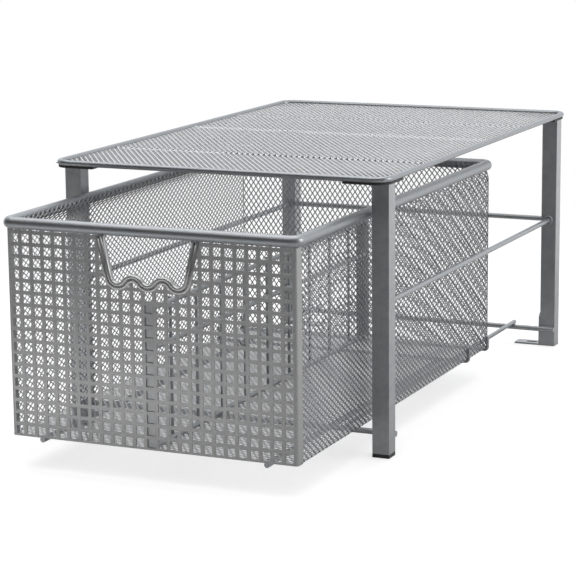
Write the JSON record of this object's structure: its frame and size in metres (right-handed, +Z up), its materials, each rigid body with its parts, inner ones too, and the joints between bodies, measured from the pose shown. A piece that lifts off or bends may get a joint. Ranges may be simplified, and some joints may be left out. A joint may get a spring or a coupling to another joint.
{
  "type": "pull-out cabinet basket",
  "caption": "Raised wire-mesh shelf on tube legs with a mesh basket that slides out on guide rails, with a wire divider and a wavy-edged hand cut-out in its perforated front.",
  "frame": {"origin": "on the floor, under the middle of the bounding box as it stands with the basket pulled out 126 mm", "axes": "+X to the right seen from the front, +Y to the back, +Z up; the basket slides out towards -Y"},
  "size_m": [0.289, 0.573, 0.2215],
  "materials": {
    "powder_coat": "satin silver-grey powder coat",
    "black_plastic": "matt"
  },
  "bodies": {
    "frame": {"shelf_rim": "powder_coat", "shelf_mesh": "powder_coat", "front_left_leg": "powder_coat", "front_right_leg": "powder_coat", "rear_left_leg": "powder_coat", "rear_right_leg": "powder_coat", "rear_left_bracket": "powder_coat", "rear_right_bracket": "powder_coat", "rear_mid_rod": "powder_coat", "left_side_rod": "powder_coat", "right_side_rod": "powder_coat", "side_rod_rings": "powder_coat", "front_cross_rod": "powder_coat", "rear_cross_rod": "powder_coat", "left_guide_rail": "powder_coat", "right_guide_rail": "powder_coat", "front_left_corner_plate": "black_plastic", "front_right_corner_plate": "black_plastic", "rear_left_corner_plate": "black_plastic", "rear_right_corner_plate": "black_plastic", "front_left_cap": "black_plastic", "front_right_cap": "black_plastic"},
    "basket": {"basket_rim": "powder_coat", "front_panel": "powder_coat", "handle_trim": "powder_coat", "left_wall": "powder_coat", "right_wall": "powder_coat", "back_wall": "powder_coat", "basket_floor": "powder_coat", "divider_front_strip": "powder_coat", "divider_back_strip": "powder_coat", "divider_rails": "powder_coat", "divider_wires": "powder_coat", "left_slide_wire": "powder_coat", "right_slide_wire": "powder_coat", "rear_runner_wire": "powder_coat", "front_runner_wire": "powder_coat"}
  },
  "joints": [
    {"name": "basket_slide", "type": "slide", "parent": "frame", "child": "basket", "axis": [0, -1, 0], "range_m": [-0.126, 0.124]}
  ]
}
